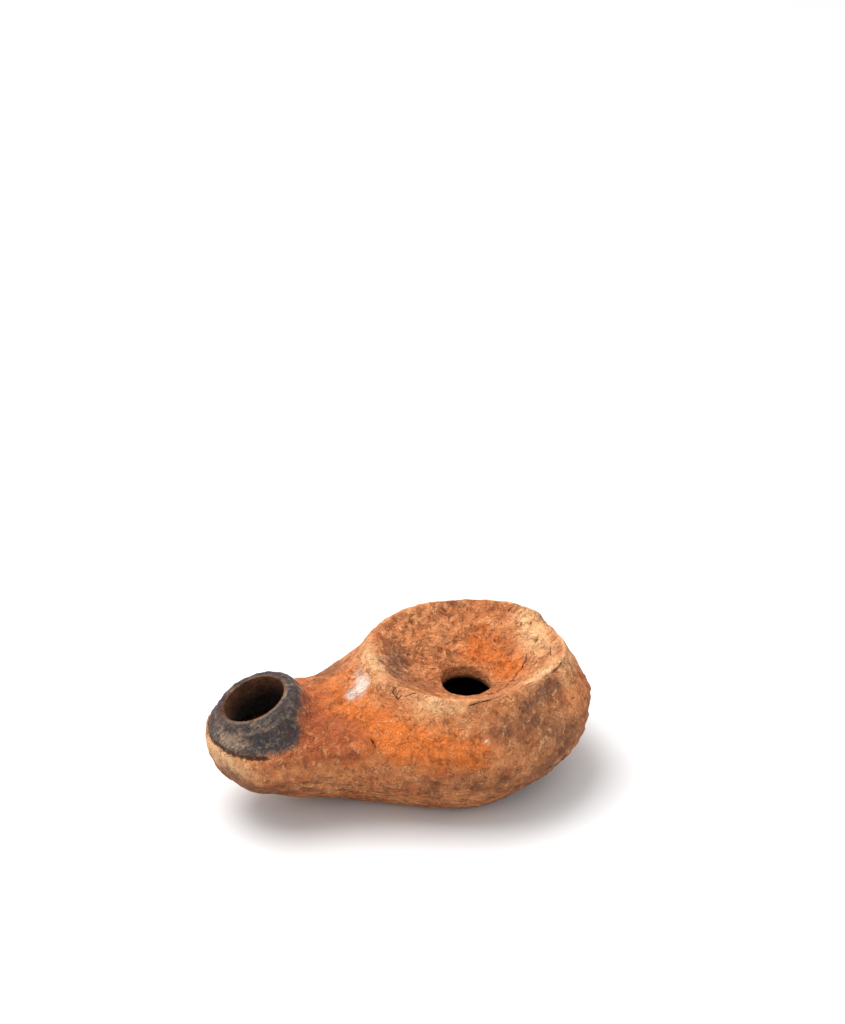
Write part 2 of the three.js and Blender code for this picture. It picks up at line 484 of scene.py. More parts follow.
OUTER_CUTS = (
    Cut((-42.1, 31.7), (-67.0, 22.2)),
    Cut((-41.0, 29.6), (-69.0, 18.0)),
    Cut((-39.8, 28.2), (-64.0, 9.0)),
    Cut((-38.4, 27.6), (-52.0, 4.0)),
    Cut((-36.5, 27.5), (-34.0, 0.5)),
    Cut((-34.5, 27.9), (-16.5, 0.0)),
    Cut((-32.5, 28.8), (0.0, 0.0)),
    Cut((-30.8, 29.9), (16.5, 0.0)),
    Cut((-29.2, 31.0), (28.5, 11.0)),
    Cut((-27.8, 32.3), (31.4, 22.5)),
    Cut((-26.4, 33.8), (28.5, 30.5)),
    Cut((-25.2, 35.2), (24.6, 35.2)),
)

INNER_CUTS = (
    Cut((-26.5, 26.9), (27.7, 20.0)),
    Cut((-28.5, 26.0), (24.0, 8.0)),
    Cut((-31.0, 25.0), (12.0, 3.8)),
    Cut((-33.0, 24.4), (-8.0, 3.8)),
    Cut((-36.0, 23.8), (-25.0, 4.0)),
    Cut((-39.0, 23.5), (-42.0, 6.0)),
    Cut((-42.0, 23.2), (-56.0, 10.5)),
    Cut((-44.0, 22.6), (-63.5, 17.5)),
)


@dataclass
class LampGrid:
    """The lamp's closed grid of points before any relief."""

    form: ClayForm
    around: int = 320
    collar_rows: int = 14
    skin_rows: int = 205
    dish_rows: int = 48
    bore_rows: int = 5
    ceiling_rows: int = 7
    hollow_rows: int = 16
    wick_rows: int = 9
    mouth_depth: float = 6.0  # of the point that the collar's cones of rays start from
    hollow_reach: float = 3.0  # how far below the collar's foot the wick hole is sure to be in the hollow
    ceiling_reach: tuple[float, float] = (12.0, 30.0)  # radii inside and outside the hollow under the dish
    edge: float = 0.4
    bevel: float = 0.3  # of the edge, from the hole's wall to its rounded corner

    def collar_top(self) -> Array:
        """Rows over the collar's top and round its edge: cones of rays from a point on its axis."""
        form = self.form
        centre = form.wick_top - self.mouth_depth * form.wick_axis
        steep = math.atan2(self.mouth_depth, form.wick_radius + self.edge)
        lean = np.linspace(steep, 0.0, self.collar_rows + 1)[:-1]
        along = np.tile(self.mouth_way(), (self.collar_rows, 1))
        fan = RowFan(form.outside, self.around)
        reach = np.full(self.collar_rows, 2.0 * form.wick_radius)
        return fan.cast(np.tile(centre, (self.collar_rows, 1)), along, lean, reach)

    def mouth_way(self) -> Array:
        """Direction from the wick hole's axis towards the lamp's tip, square to the axis."""
        axis = self.form.wick_axis
        return np.array([-axis[2], 0.0, axis[0]])

    def wick_bore(self) -> Array:
        """Rows up the wick hole, from where its lines leave the hollow to its rounded mouth."""
        form = self.form
        turn = turns(self.around)[:, None]
        spoke = np.cos(turn) * self.mouth_way() + np.sin(turn) * np.array([0.0, 1.0, 0.0])
        wall = form.wick_top + form.wick_radius * spoke
        deepest = np.full(self.around, form.collar_depth + self.hollow_reach)
        low = halved(lambda depth: form.inside(wall - depth[:, None] * form.wick_axis) < 0.0,
                     deepest, np.zeros(self.around))
        share = np.linspace(0.0, 1.0, self.wick_rows)[:, None]
        depth = low + (self.edge - low) * share
        rows = wall - depth[..., None] * form.wick_axis
        edge_row = wall + self.bevel * self.edge * (spoke - form.wick_axis)
        return np.concatenate([rows, edge_row[None]])

    def dish(self, crest: Array) -> Array:
        """Rows down the dish, evenly between the crest's row and the filling hole's oval.

        Args:
            crest: The skin's last row.

        Returns:
            Points of shape (dish_rows, around, 3).
        """
        hole = self.fill_ring(self.edge)
        share = np.linspace(0.0, 1.0, self.dish_rows + 1)[1:, None, None]
        plan = crest[None, :, :2] * (1.0 - share) + hole[None] * share
        height = self.form.dish_height(np.hypot(plan[..., 0], plan[..., 1]))
        return np.concatenate([plan, height[..., None]], -1)

    def fill_ring(self, outset: float) -> Array:
        """Plan points of the filling hole's oval, made larger by an outset."""
        turn = turns(self.around)
        half_x, half_y = self.form.fill_length / 2.0, self.form.fill_width / 2.0
        return np.stack([(half_x + outset) * np.cos(turn), (half_y + outset) * np.sin(turn)], -1)

    def fill_bore(self) -> Array:
        """Rows down the filling hole, with rounded edges at the dish and at the ceiling."""
        form = self.form
        plan = self.fill_ring(0.0)
        top = form.dish_height(np.hypot(plan[:, 0], plan[:, 1]))
        corner = self.bevel * self.edge
        rows = [np.concatenate([self.fill_ring(corner), (top - corner)[:, None]], -1)]
        for share in np.linspace(0.0, 1.0, self.bore_rows):
            drop = self.edge + (form.dish_wall - 2.0 * self.edge) * share
            rows.append(np.concatenate([plan, (top - drop)[:, None]], -1))
        return np.stack(rows)

    def under_dish(self, plan: Array) -> Array:
        """Points on the ceiling over places in plan: the dish's height less the clay under it."""
        height = self.form.dish_height(np.hypot(plan[..., 0], plan[..., 1])) - self.form.dish_wall
        return np.concatenate([plan, height[..., None]], -1)

    def ceiling(self) -> Array:
        """Rows under the dish, from the filling hole out to where they meet the hollow's wall."""
        turn = turns(self.around)
        spoke = np.stack([np.cos(turn), np.sin(turn)], -1)
        near, far = (np.full(self.around, radius) for radius in self.ceiling_reach)
        meeting = halved(lambda radius: self.form.inside(self.under_dish(spoke * radius[:, None])) < 0.0,
                         near, far)
        share = np.linspace(0.0, 1.0, self.ceiling_rows)[:, None, None]
        start = self.fill_ring(self.edge)[None]
        return self.under_dish(start * (1.0 - share) + (spoke * meeting[:, None])[None] * share)

    def build(self) -> tuple[Array, int]:
        """All rows in order, round the lamp and back to the wick hole's mouth.

        Returns:
            Points of shape (rows, around, 3), and how many of the rows can be seen from outside.
        """
        form = self.form
        skin = RowFan(form.outside, self.around).through(OUTER_CUTS, self.skin_rows)
        crest = skin[-1]
        outer = np.concatenate([self.collar_top(), skin, self.dish(crest)])
        outer = settled(form.dished, outer)
        hollow = RowFan(form.inside, self.around).through(INNER_CUTS, self.hollow_rows)
        parts = [outer, self.fill_bore(), self.ceiling(), hollow, self.wick_bore()]
        return np.concatenate(parts), len(outer)


def line_offset(points: Array, normals: Array, path: Sequence[Sequence[float]]) -> tuple[Array, Array]:
    """Distance and signed side distance from points to a line of straight stretches.

    The nearest stretch counts. The side is the sign of the triple product of the stretch, the way from
    it to the point, and the skin's normal.

    Args:
        points: Places, shape (count, 3).
        normals: The skin's normals there.
        path: Corners of the line in millimetres.

    Returns:
        The distances, and the distances with the side's sign.
    """
    corners = np.asarray(path, dtype=float)
    best = np.full(len(points), np.inf)
    side = np.ones(len(points))
    for start, end in zip(corners[:-1], corners[1:]):
        way = end - start
        share = np.clip((points - start) @ way / (way @ way), 0.0, 1.0)
        off = points - start - share[:, None] * way
        distance = np.linalg.norm(off, axis=1)
        turn = (np.cross(way, off) * normals).sum(1)
        nearer = distance < best
        best = np.where(nearer, distance, best)
        side = np.where(nearer, np.sign(turn), side)
    return best, best * side


@dataclass(frozen=True)
class Patch:
    """A soft-edged patch of colour or height on the skin: an ellipsoid about a point."""

    centre: Point
    radii: Point
    strength: float = 1.0

    def cover(self, points: Array) -> Array:
        """Strength at the centre that falls off as a bell with the distance in radii."""
        share = (points - np.array(self.centre)) / np.array(self.radii)
        return self.strength * np.exp(-(share**2).sum(-1))


def cover_of(patches: Sequence[Patch], points: Array) -> Array:
    """Sum of the covers of several patches."""
    return sum((patch.cover(points) for patch in patches), np.zeros(len(points)))


class Tint(Enum):
    """Masks that the clay's finish reads, one named number at each vertex."""

    ORANGE = "hot_orange"
    CREAM = "cream_bloom"
    BROWN = "brown_film"
    # brown stains, and painted shade under the near right arris and inside the dish below the crest
    LIME = "lime_crust"
    SOOT = "soot_cover"
    SCORCH = "scorch_halo"
    # soot in the wick hole, and painted shade inside the holes
    HOLLOW = "hollow_dark"
    DASH = "drag_marks"
    STREAK = "grain_streaks"
    WORN = "worn_edge"
    CRACK_SIDE = "crack_side"
    CRACK_NEAR = "crack_near"
    # painted shade wherever the relief lies below the form
    LOW_SHADE = "low_place"
    ASH = "ash_film"
    # painted highlight along the rim's crest
    CREST_HIGHLIGHT = "rim_arris"


@dataclass(frozen=True)
class Crack:
    """A thin dark crack along a line on the skin."""

    path: tuple[Point, ...]
    depth: float = 0.12


DISH_CRACKS = (
    Crack(((1.2, -10.8, 26.1), (3.8, -10.6, 26.3), (6.7, -8.6, 26.2), (8.7, -7.6, 26.5),
           (11.1, -5.9, 26.9), (12.5, -4.4, 27.2), (13.5, -4.0, 27.7), (16.3, -0.9, 28.9)), 0.2),
    Crack(((15.4, -5.3, 28.9), (17.1, -6.0, 30.0))),
    Crack(((21.3, -4.7, 32.6), (20.3, -7.3, 32.3))),
)
SHOULDER_CRACKS = (
    Crack(((-24.0, -11.1, 33.3), (-23.2, -11.2, 34.3))),
    Crack(((-23.8, -11.6, 33.2), (-23.4, -13.3, 32.3), (-22.7, -13.6, 33.3))),
    Crack(((-21.6, -14.7, 33.7), (-19.6, -15.9, 34.7))),
    Crack(((-26.4, -8.6, 31.6), (-26.0, -9.6, 31.9))),
)
WALL_CRACKS = (
    Crack(((15.0, -24.7, 28.8), (14.4, -25.6, 28.0), (13.4, -26.8, 26.8), (12.5, -27.7, 25.7),
           (13.4, -28.1, 23.9)), 0.18),
    Crack(((22.1, -20.0, 27.1), (21.1, -21.5, 26.2))),
    Crack(((11.3, -27.8, 26.6), (10.8, -28.4, 25.7))),
    Crack(((17.9, -22.4, 29.0), (17.2, -23.4, 28.0), (16.9, -24.2, 27.0))),
    Crack(((8.0, -28.2, 28.2), (7.6, -28.8, 27.0))),
    Crack(((-8.5, -24.6, 33.9), (-5.0, -25.0, 34.6), (-0.7, -25.0, 34.7), (2.9, -24.0, 34.4),
           (6.9, -22.4, 33.8), (10.6, -20.2, 33.3), (14.1, -18.9, 33.7), (17.3, -17.1, 33.9),
           (20.2, -14.7, 34.4)), 0.3),
)
CRACKS = DISH_CRACKS + SHOULDER_CRACKS + WALL_CRACKS
# Crease beside the dab: cut into the relief, and drawn as a dark line that is a painted shadow of the dab
DAB_CREASE = ((-32.0, -18.0, 25.4), (-31.6, -19.4, 24.3), (-31.6, -19.8, 23.2), (-32.6, -19.5, 22.1),
              (-33.5, -19.1, 22.0))
STEP_LINE = ((-29.1, -20.9, 18.7), (-29.2, -20.3, 15.9), (-30.1, -19.1, 14.0), (-28.3, -19.6, 12.7))
# Broad swellings of the worn form, and hollows where the height is negative
SWELLS = (
    Patch((-45.5, 7.0, 30.0), (3.5, 6.0, 3.5), 1.1), Patch((-41.5, 16.0, 25.5), (3.5, 5.0, 4.0), 1.2),
    Patch((24.0, 10.5, 34.0), (3.0, 4.0, 2.5), 0.7), Patch((-22.0, 17.0, 30.0), (5.0, 5.0, 5.0), 0.6),
    Patch((-30.5, 17.5, 27.5), (7.0, 6.0, 5.0), -1.0), Patch((-60.0, -9.0, 8.0), (11.0, 9.0, 7.0), -1.3),
    Patch((-66.0, -5.0, 14.0), (5.0, 7.0, 7.0), -0.6), Patch((-67.5, 4.0, 27.0), (3.0, 6.0, 5.0), -0.6),
    Patch((14.0, -20.0, 6.0), (14.0, 10.0, 7.0), -1.1), Patch((31.0, -6.0, 17.0), (6.0, 14.0, 10.0), -0.5),
    Patch((6.0, 26.0, 34.0), (16.0, 6.0, 4.0), -0.6),
)
DAB = Patch((-33.8, -18.7, 23.6), (2.6, 2.2, 1.9), 2.3)  # of clay, on the nozzle's near side
NICK = (-64.0, 3.4, 29.6)  # in the wick hole's edge
NOZZLE_SCORCH = Patch((-38.0, -15.0, 23.5), (9.0, 8.0, 6.0), 1.25)
TIP_ASH = Patch((-66.0, -7.0, 26.5), (7.0, 6.0, 3.0), 1.1)
BRUSHED = Patch((-13.0, 6.0, 28.0), (6.0, 9.0, 5.0), 0.8)  # where the drag marks in the dish are darkest
# Centre, radius and depth of each pit
PITS = (
    (19.2, -15.2, 34.5, 0.9, 0.55), (24.0, -15.0, 30.0, 0.5, 0.35), (-1.0, -28.3, 30.1, 0.7, 0.4),
    (0.3, -27.7, 31.0, 0.6, 0.35), (5.7, -30.5, 24.2, 0.6, 0.4), (4.5, -27.5, 30.8, 0.4, 0.25),
    (17.1, -6.0, 30.0, 0.35, 0.25), (-27.9, -16.2, 27.8, 0.5, 0.25), (-38.0, -12.0, 25.9, 0.5, 0.3),
    (-51.4, -9.8, 9.8, 0.6, 0.3), (-20.0, -25.0, 14.0, 0.6, 0.3), (-12.0, 8.0, 27.6, 0.5, 0.25),
)
# Patches of each colour
STAINS = {
    Tint.ORANGE: (
        Patch((-35.0, -2.0, 27.5), (11.0, 14.0, 6.0)), Patch((-40.0, -11.0, 25.5), (8.0, 6.0, 5.0), 0.45),
        Patch((-20.0, -26.0, 24.0), (11.0, 9.0, 5.5), 1.15),
        Patch((-28.0, -17.0, 27.0), (6.0, 6.0, 4.0), 0.7),
        Patch((-36.0, -18.0, 21.0), (8.0, 6.0, 5.0), 0.5), Patch((9.0, 8.0, 27.5), (7.0, 9.0, 4.0), 0.95),
        Patch((11.0, -2.0, 26.5), (5.0, 5.0, 3.0), 0.8), Patch((-8.0, -30.0, 22.0), (7.0, 5.0, 4.0), 0.6),
        Patch((12.0, 27.0, 24.0), (12.0, 8.0, 6.0), 0.7),
    ),
    Tint.CREAM: (
        Patch((20.0, 4.0, 31.5), (5.0, 12.0, 5.0), 1.1), Patch((-24.0, 2.0, 34.0), (4.0, 14.0, 3.5), 1.0),
        Patch((-14.0, -21.0, 33.5), (15.0, 5.0, 3.0), 0.75),
        Patch((14.0, -14.0, 32.0), (10.0, 4.5, 3.0), 1.2), Patch((-67.0, -4.0, 22.0), (4.0, 9.0, 5.0), 1.2),
        Patch((-62.0, -10.0, 18.0), (8.0, 8.0, 6.0), 0.45), Patch((28.0, -6.0, 30.0), (5.0, 5.0, 5.0), 0.7),
    ),
    Tint.BROWN: (
        # brown stains; the patch under the near right arris at (13, -22) and those just below the crest
        # inside the dish at (-19, 2) and (-13, -14) are painted shade
        Patch((4.0, -28.5, 29.0), (12.0, 6.0, 6.0), 0.8), Patch((13.0, -22.0, 31.8), (10.0, 4.0, 2.2), 0.9),
        Patch((-19.0, 2.0, 30.5), (4.0, 14.0, 3.5), 1.0), Patch((-13.0, -14.0, 31.0), (8.0, 5.0, 2.5), 0.7),
        Patch((16.0, -24.0, 20.0), (12.0, 9.0, 10.0), 0.8), Patch((-14.0, 8.0, 29.0), (5.0, 7.0, 4.0), 0.6),
        Patch((-4.0, -28.0, 14.0), (22.0, 8.0, 7.0), 0.7),
        Patch((-45.0, -12.0, 14.0), (14.0, 8.0, 6.0), 0.5), Patch((0.0, 0.0, 0.0), (34.0, 30.0, 6.0), 0.6),
    ),
    Tint.LIME: (
        Patch((-32.2, -2.8, 28.4), (2.6, 2.8, 2.2), 0.8), Patch((-29.3, -1.8, 30.0), (2.6, 3.0, 2.2), 1.0),
        Patch((-27.6, -1.4, 31.6), (2.2, 3.0, 2.4), 0.8), Patch((-27.5, 4.0, 30.8), (2.6, 2.6, 2.2), 0.9),
        Patch((-6.2, -30.1, 26.3), (0.45, 0.5, 0.45), 1.6),
    ),
}
# The soot's border round the wick hole: degrees about its axis, and distance from it
SOOT_BORDER = (
    (-180.0, 11.4), (-157.0, 11.6), (-128.0, 12.0), (-118.0, 12.9), (-109.0, 13.8), (-97.0, 14.6),
    (-60.0, 15.2), (-43.0, 14.6), (0.0, 15.0), (60.0, 15.0), (110.0, 15.0), (150.0, 12.6), (180.0, 11.4),
)


@dataclass(frozen=True)
class ClayRelief:
    """The skin's relief, and the masks of its colours, on the points of the lamp's grid."""

    form: ClayForm
    lumps: float = 0.5  # height of the hand-made unevenness
    lump_size: float = 13.0
    wrinkles: float = 0.42
    wrinkle_size: float = 2.4
    warp: float = 1.2  # how far the wrinkles wander
    warp_size: float = 4.0
    ridged_share: float = 0.6
    fine_share: float = 0.7
    fine_size: float = 1.3
    fine_stretch: Point = (1.0, 1.0, 0.55)  # the fine wrinkles are drawn out upwards
    mouth_calm: float = 0.85  # share of the unevenness that is missing round the wick hole
    mouth_band: Band = (11.5, 9.0)  # distances from the wick hole's axis
    mouth_heights: Band = (-3.0, -1.0)  # over the collar's top
    foot_band: Band = (1.6, 0.4)  # heights at which the skin becomes the flat foot
    crest_rise: float = 0.5  # of the rim's sharp crest at the near right
    crest_band: Band = (-12.0, 0.0)  # along X
    crest_across: Band = (2.0, -8.0)  # along Y
    tip_band: Band = (-54.0, -61.0)  # along X, from the wick hole's middle to the tip
    groove_depth: float = 0.5
    groove_width: float = 0.45
    groove_height: float = 24.0
    groove_wave: float = 0.35
    groove_wave_size: float = 6.0
    lip_height: float = 1.3  # of the groove's upper lip over the groove
    lip_rise: float = 0.3
    lip_width: float = 1.1
    seam_height: float = 22.6
    seam_rise: float = 0.55
    seam_width: float = 0.9
    seam_power: float = 1.3
    seam_wave: float = 0.4
    seam_wave_size: float = 9.0
    seam_start: Band = (-48.0, -30.0)  # degrees round the body
    seam_end: Band = (170.0, 140.0)
    seam_band: Band = (28.0, 30.0)  # distances from the filling hole's axis
    nib_rise: float = 0.7  # where the seam sticks out most, at the back
    nib_place: tuple[float, float] = (30.0, -9.6)
    nib_size: tuple[float, float] = (3.0, 5.0)
    crease_depth: float = 1.1
    crease_width: float = 0.6
    step_rise: float = 0.3
    step_width: float = 3.0
    step_edge: Band = (-0.35, 0.35)  # side distances over which the step rises
    crack_width: float = 0.4
    nick_depth: float = 0.9
    nick_width: float = 1.9
    chip_depth: float = 0.25
    chip_size: float = 3.0
    chip_band: Band = (0.0, 6.0)  # along Y, on the ring's far side
    ring_band: Band = (12.5, 10.0)  # distances from the wick hole's axis
    ring_heights: Band = (-4.0, -1.5)
    bevel_depth: float = 0.25
    bevel_extra: float = 0.6  # on the far side
    bevel_band: Band = (9.6, 8.1)
    bevel_heights: Band = (-1.2, -0.3)
    bevel_far: Band = (-5.0, 3.0)  # along Y
    soot_edge: Band = (1.3, -1.3)  # distances outside the soot's border
    soot_heights: Band = (-13.0, -10.5)
    groove_side: float = 0.4  # narrows the groove's side distances, so that it is drawn wider
    crease_shadow_side: float = 0.6
    line_reach: float = 9.0  # crack distances past this are all alike
    side_limit: float = 2.0

    def groove_level(self, points: Array) -> Array:
        """Height of the mould seam round the nozzle's tip, wavy by a little noise."""
        wave = Noise(Pattern.GROOVE).layered(points, self.groove_wave_size, 2)
        return self.groove_height + self.groove_wave * wave

    def tip_share(self, points: Array) -> Array:
        """1 at the nozzle's tip and 0 from the middle of the wick hole on."""
        return smooth_step(*self.tip_band, points[:, 0])

    def collar_place(self, points: Array) -> tuple[Array, Array]:
        """Height over the collar's top, and distance from the wick hole's axis."""
        offset = points - self.form.wick_top
        depth = offset @ self.form.wick_axis
        return depth, np.linalg.norm(offset - depth[:, None] * self.form.wick_axis, axis=1)

    def axis_azimuth(self, points: Array) -> Array:
        """Degrees round the wick hole's axis: 0 at the tip's side, negative on the near side."""
        offset = points - self.form.wick_top
        tipward = np.cross(self.form.wick_axis, (0.0, 1.0, 0.0))
        across = np.cross(tipward, self.form.wick_axis)
        return np.degrees(np.arctan2(offset @ across, offset @ tipward))

    def heights(self, points: Array, normals: Array) -> Array:
        """How far each point of the skin moves out along its normal.

        Lumps and wrinkles are noise, calm round the wick hole and none on the foot. The seam's ridge,
        the groove, the dab and the step are bells and ramps over the distance from their lines, and
        pits are round bells.

        Args:
            points: Places on the skin.
            normals: The skin's normals there.

        Returns:
            Heights in millimetres.
        """
        depth, axis_distance = self.collar_place(points)
        near_mouth = smooth_step(*self.mouth_band, axis_distance) * smooth_step(*self.mouth_heights, depth)
        on_foot = smooth_step(*self.foot_band, points[:, 2])
        calm = (1.0 - self.mouth_calm * near_mouth) * (1.0 - on_foot)
        height = self.lumps * Noise(Pattern.LUMPS).layered(points, self.lump_size, 2) * calm
        shift = np.stack([Noise(warp).layered(points, self.warp_size, 2) for warp in WARPS], -1)
        warped = points + self.warp * shift
        ridged = 1.0 - 2.0 * np.abs(Noise(Pattern.RIDGES).layered(warped, self.wrinkle_size, 2))
        fine = Noise(Pattern.FINE).layered(points * np.array(self.fine_stretch), self.fine_size, 2)
        wrinkled = self.ridged_share * ridged + self.fine_share * fine
        height += self.wrinkles * self.roughness(points) * wrinkled * calm
        height += self.seam(points) + self.tip_groove(points) + self.marks(points, normals)
        height += self.collar_wear(points, depth, axis_distance)
        near_right = smooth_step(*self.crest_band, points[:, 0])
        near_right = near_right * smooth_step(*self.crest_across, points[:, 1])
        height += self.crest_rise * near_right * self.form.crest_share(points)
        return height + cover_of(SWELLS, points)

    def roughness(self, points: Array) -> Array:
        """How wrinkled the skin is: most in the dish's far half and on the right wall.

        Args:
            points: Places on the skin.

        Returns:
            Shares of the wrinkles' height.
        """
        x, y, z = points.T
        radius = np.hypot(x, y)
        in_dish = smooth_step(25.5, 23.0, radius) * smooth_step(18.0, 24.0, z)
        far_dish = in_dish * smooth_step(-4.0, 12.0, y + 0.3 * x)
        right_wall = smooth_step(23.0, 27.0, radius) * smooth_step(2.0, 14.0, x) * smooth_step(-4.0, -14.0, y)
        underside = smooth_step(8.0, 3.0, z)
        return 0.75 + 1.7 * far_dish + 0.9 * right_wall - 0.3 * underside

    def seam(self, points: Array) -> Array:
        """Low sharp ridge of the mould seam along the back half of the body.

        Its section is a tent to a power. Its rise wanders by noise, and it fades at both ends.

        Args:
            points: Places on the skin.

        Returns:
            Its heights in millimetres.
        """
        x, y, z = points.T
        azimuth = np.degrees(np.arctan2(y, x))
        along = smooth_step(*self.seam_start, azimuth) * smooth_step(*self.seam_end, azimuth)
        outer = smooth_step(*self.seam_band, np.hypot(x, y))
        wave = Noise(Pattern.SEAM_PATH).layered(points, self.seam_wave_size, 2)
        off = np.abs(z - self.seam_height - self.seam_wave * wave)
        ridge = np.clip(1.0 - off / self.seam_width, 0.0, 1.0) ** self.seam_power
        nib = bell(x - self.nib_place[0], self.nib_size[0]) * bell(y - self.nib_place[1], self.nib_size[1])
        uneven = 0.35 + 0.25 * Noise(Pattern.SEAM_RISE).layered(points, 5.0, 2)
        return (self.seam_rise * uneven + self.nib_rise * nib) * ridge * along * outer

    def tip_groove(self, points: Array) -> Array:
        """Open seam round the nozzle's tip: a narrow groove under a lip that stands out a little.

        Args:
            points: Places on the skin.

        Returns:
            Its heights in millimetres: a bell for the lip less a bell for the groove.
        """
        off = points[:, 2] - self.groove_level(points)
        lip, groove = bell(off - self.lip_height, self.lip_width), bell(off, self.groove_width)
        return self.tip_share(points) * (self.lip_rise * lip - self.groove_depth * groove)

    def marks(self, points: Array, normals: Array) -> Array:
        """The dab of clay with its crease, the step below it, cracks and pits.

        Args:
            points: Places on the skin.
            normals: The skin's normals there.

        Returns:
            Their heights in millimetres, each one a bell over the distance from its line or centre.
        """
        distance, _ = line_offset(points, normals, DAB_CREASE)
        total = DAB.cover(points) - self.crease_depth * bell(distance, self.crease_width)
        distance, side = line_offset(points, normals, STEP_LINE)
        total += self.step_rise * bell(distance, self.step_width) * smooth_step(*self.step_edge, side)
        for crack in CRACKS:
            distance, _ = line_offset(points, normals, crack.path)
            total -= crack.depth * bell(distance, self.crack_width)
        for x, y, z, radius, depth in PITS:
            total -= depth * bell(np.linalg.norm(points - np.array([x, y, z]), axis=1), radius)
        return total

    def collar_wear(self, points: Array, depth: Array, axis_distance: Array) -> Array:
        """Nick at the wick hole's left, chips on its far side and a worn bevel round its edge.

        Args:
            points: Places on the skin.
            depth: Their heights over the collar's top.
            axis_distance: Their distances from the wick hole's axis.

        Returns:
            The wear's heights in millimetres.
        """
        nick = bell(np.linalg.norm(points - np.array(NICK), axis=1), self.nick_width)
        chips = Noise(Pattern.CHIPS).layered(points, self.chip_size, 2)
        chips = chips * smooth_step(*self.chip_band, points[:, 1])
        on_ring = smooth_step(*self.ring_band, axis_distance) * smooth_step(*self.ring_heights, depth)
        bevel = smooth_step(*self.bevel_band, axis_distance) * smooth_step(*self.bevel_heights, depth)
        worn = self.bevel_depth + self.bevel_extra * smooth_step(*self.bevel_far, points[:, 1])
        return self.chip_depth * chips * on_ring - self.nick_depth * nick - worn * bevel

    def masks(self, points: Array, normals: Array, height: Array) -> dict[Tint, Array]:
        """Colour masks at the points, before the finish makes their edges ragged. Some paint light: the
        crest's highlight, the shade in low places and in the wick hole, and some of the brown patches.

        Args:
            points: Places on the skin.
            normals: The skin's normals there.
            height: The relief's heights.

        Returns:
            One array for each mask.
        """
        depth, axis_distance = self.collar_place(points)
        x, y, z = points.T
        in_dish = smooth_step(25.3, 23.5, np.hypot(x, y)) * smooth_step(20.0, 23.6, z)
        near_right = smooth_step(0.0, 12.0, x) * smooth_step(-6.0, -16.0, y)
        brushed = BRUSHED.cover(points)
        heated = smooth_step(26.0, 14.0, axis_distance) * smooth_step(-20.0, -8.0, depth)
        soot = self.soot(points, depth, axis_distance)
        ash = TIP_ASH.cover(points)
        ash += 0.9 * (np.abs(axis_distance - 10.6) < 0.9) * smooth_step(-48.0, -52.0, x)
        on_edge = np.clip(1.0 - np.abs(axis_distance - self.form.wick_radius - 0.5) / 1.2, 0.0, 1.0)
        masks = {tint: cover_of(patches, points) for tint, patches in STAINS.items()}
        masks |= {
            Tint.SOOT: soot * self.above_groove(points),
            Tint.SCORCH: heated * smooth_step(-60.0, -52.0, x) + NOZZLE_SCORCH.cover(points),
            # soot and painted shade of the wick hole's inside, up to its mouth
            Tint.HOLLOW: 0.8 * smooth_step(8.3, 7.7, axis_distance) * smooth_step(-4.0, -3.0, depth),
            Tint.DASH: np.clip(0.3 + brushed + 0.6 * in_dish + 0.5 * near_right, 0.0, 1.0),
            Tint.STREAK: smooth_step(20.0, 8.0, z) * smooth_step(1.0, 3.0, z) * smooth_step(5.0, -10.0, y),
            Tint.WORN: on_edge * smooth_step(-1.5, -0.3, depth),
            # painted shade: the deeper the relief dips below the form, the darker
            Tint.LOW_SHADE: np.clip(-height / 0.6, 0.0, 1.0),
            Tint.ASH: soot * smooth_step(10.2, 12.0, axis_distance) * np.clip(ash, 0.0, 1.0),
            # painted highlight along the rim's crest, a little over half as strong where X is below 0
            Tint.CREST_HIGHLIGHT: self.form.crest_share(points) * (0.55 + 0.45 * smooth_step(0.0, 10.0, x)),
        }
        return masks | self.line_masks(points, normals)

    def soot(self, points: Array, depth: Array, axis_distance: Array) -> Array:
        """Cover of the soot round the wick hole, before the groove cuts it off.

        Args:
            points: Places on the skin.
            depth: Their heights over the collar's top.
            axis_distance: Their distances from the wick hole's axis.

        Returns:
            1 well inside the soot's border, 0 well outside it and below the collar.
        """
        border = np.interp(self.axis_azimuth(points), *zip(*SOOT_BORDER))
        return smooth_step(*self.soot_edge, axis_distance - border) * smooth_step(*self.soot_heights, depth)

    def above_groove(self, points: Array) -> Array:
        """1 above the open seam at the nozzle's tip and everywhere away from the tip."""
        off = points[:, 2] - self.groove_level(points)
        return smooth_step(-0.4, 0.3, off + 3.0 * (1.0 - self.tip_share(points)))

    def line_masks(self, points: Array, normals: Array) -> dict[Tint, Array]:
        """The two masks that draw cracks: how near the nearest line is, and the distance to its side.

        Args:
            points: Places on the skin.
            normals: The skin's normals there.

        Returns:
            The masks CRACK_NEAR and CRACK_SIDE. The crease of the dab, whose dark line is a painted shadow
            of the dab, and the open seam have their side distances made smaller, so that they are drawn
            wider.
        """
        near = np.zeros(len(points))
        nearest, side = np.full((2, len(points)), self.line_reach)
        # the cracks, and the dab's crease as a painted shadow
        for path, narrowing in [(crack.path, 1.0) for crack in CRACKS] + [(DAB_CREASE, self.crease_shadow_side)]:
            distance, signed = line_offset(points, normals, path)
            nearer = distance < nearest
            side = np.where(nearer, narrowing * signed, side)
            nearest = np.where(nearer, distance, nearest)
            near = np.maximum(near, smooth_step(0.8, 0.35, distance))
        off = points[:, 2] - self.groove_level(points)
        groove_near = self.tip_share(points) * smooth_step(1.2, 0.6, np.abs(off))
        side = np.where(groove_near > near, self.groove_side * off, side)
        side = np.clip(side, -self.side_limit, self.side_limit)
        return {Tint.CRACK_NEAR: np.maximum(near, groove_near), Tint.CRACK_SIDE: side}


